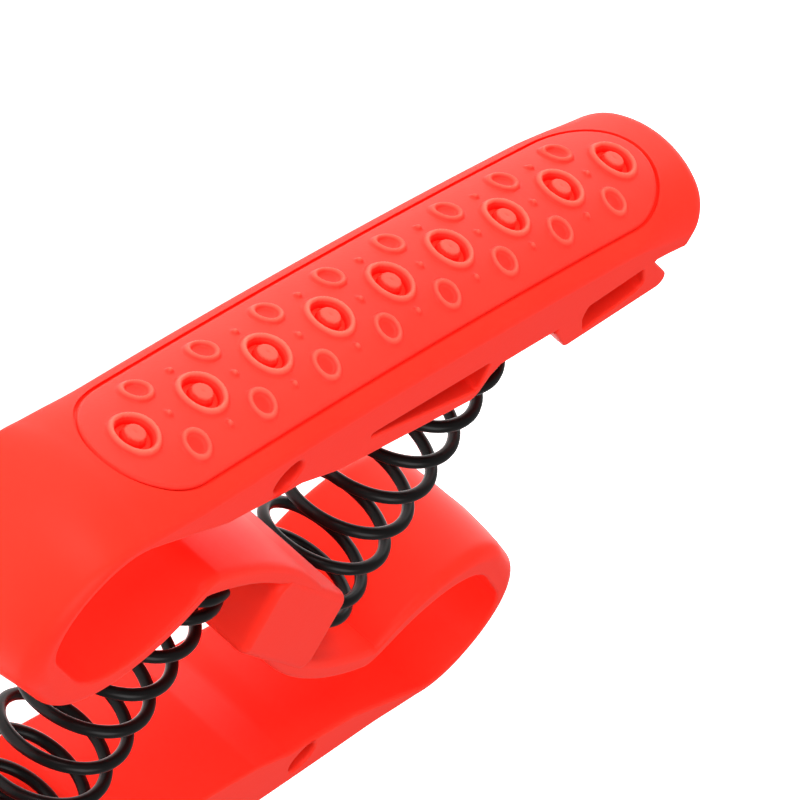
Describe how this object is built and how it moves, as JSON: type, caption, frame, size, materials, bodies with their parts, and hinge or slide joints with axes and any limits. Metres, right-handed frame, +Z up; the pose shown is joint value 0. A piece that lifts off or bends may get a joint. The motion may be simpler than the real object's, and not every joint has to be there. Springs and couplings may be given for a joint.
{
  "type": "spring hand gripper",
  "caption": "S-shaped hand gripper: crowned grip bars with ring-relief pads, flexing C-bends, sloping arms, a middle block and coil springs between arm and bar.",
  "frame": {"origin": "middle of the underside, on the half-turn symmetry axis, with the tool lying on one flat side", "axes": "+X along the grip bars, +Y across them towards the upper grip, +Z up through the width of the moulding"},
  "size_m": [0.1276, 0.0864, 0.0184],
  "materials": {
    "body_red": "moulded satin gloss, coloured through",
    "pad_red": "moulded satin gloss with ring relief",
    "spring_black": "black satin lacquer on spring wire"
  },
  "bodies": {
    "lower_handle": {"lower_handle": "body_red", "lower_grip_pad": "pad_red", "lower_bend_handle_side": "body_red", "lower_end_loop": "body_red", "lower_keel": "body_red", "left_peg_handle": "body_red", "left_spring": "spring_black"},
    "link": {"upper_bend_arm_side": "body_red", "lower_bend_arm_side": "body_red", "upper_arm": "body_red", "lower_arm": "body_red", "centre_block": "body_red", "right_peg_arm": "body_red", "left_peg_arm": "body_red", "right_spring": "spring_black"},
    "upper_handle": {"upper_handle": "body_red", "upper_grip_pad": "pad_red", "upper_bend_handle_side": "body_red", "upper_end_loop": "body_red", "upper_keel": "body_red", "right_peg_handle": "body_red"}
  },
  "joints": [
    {"name": "lower_hinge", "type": "hinge", "parent": "lower_handle", "child": "link", "pos_m": [0.06165, -0.03, 0.0092], "axis": [0, 0, 1], "range_deg": [0, 15], "stiffness_Nm_per_rad": 14, "deforming": ["left_spring"]},
    {"name": "upper_hinge", "type": "hinge", "parent": "link", "child": "upper_handle", "pos_m": [-0.06165, 0.03, 0.0092], "axis": [0, 0, 1], "range_deg": [-15, 0], "stiffness_Nm_per_rad": 14, "deforming": ["right_spring"]}
  ],
  "couplings": [
    {"joint": "upper_hinge", "follows": "lower_hinge", "ratio": -1}
  ]
}
